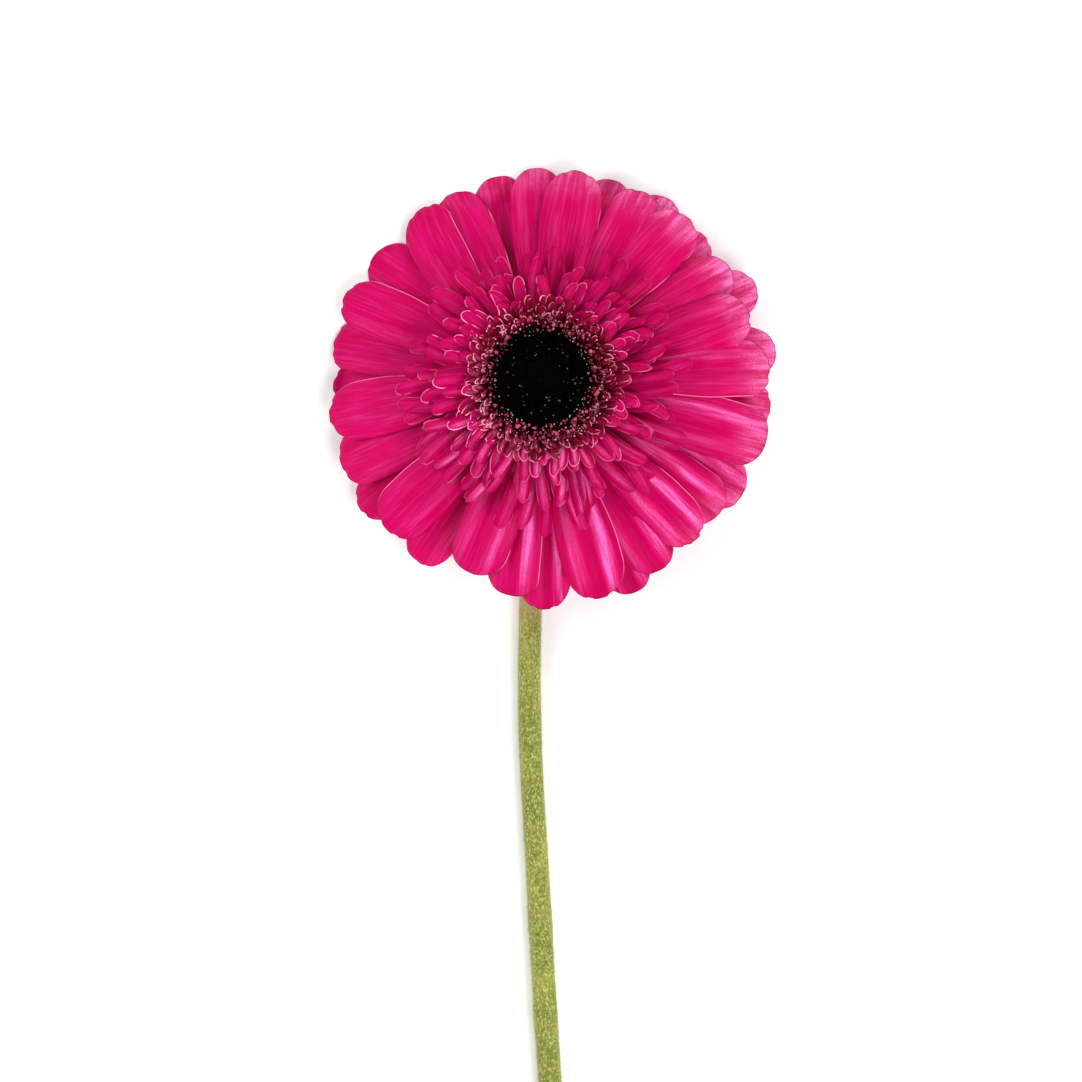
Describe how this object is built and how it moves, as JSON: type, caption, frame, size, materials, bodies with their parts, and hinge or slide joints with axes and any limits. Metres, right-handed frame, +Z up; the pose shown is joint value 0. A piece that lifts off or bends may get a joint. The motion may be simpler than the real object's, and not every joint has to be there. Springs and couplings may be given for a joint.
{
  "type": "cut gerbera",
  "caption": "Cut gerbera lying on its back rays, bloom facing up: bright pink rays, darker inner florets, a dark disc, a green scaly cup and a bent green stem.",
  "frame": {"origin": "on the surface that the flower lies on, under the middle of its bounding box", "axes": "+Z up, the way that the bloom faces but for its lean; +Y from the cut end of the stem towards the bloom; +X to the right as seen from above"},
  "size_m": [0.1095, 0.2754, 0.0358],
  "materials": {
    "stem": "matt green stem with fine short hairs",
    "involucre": "matt green scales, downy",
    "ray_florets": "soft satin petal, bright pink with fine veins",
    "trans_florets": "soft satin petal, deep pink with pale edges",
    "rim_florets": "soft petal, deep pink with cream hooked rims",
    "disc_florets": "matt dark purple, almost black, with pale specks"
  },
  "bodies": {
    "root": {"stem": "stem", "involucre": "involucre", "ray_florets": "ray_florets", "trans_florets": "trans_florets", "rim_florets": "rim_florets", "disc_florets": "disc_florets"}
  },
  "joints": []
}
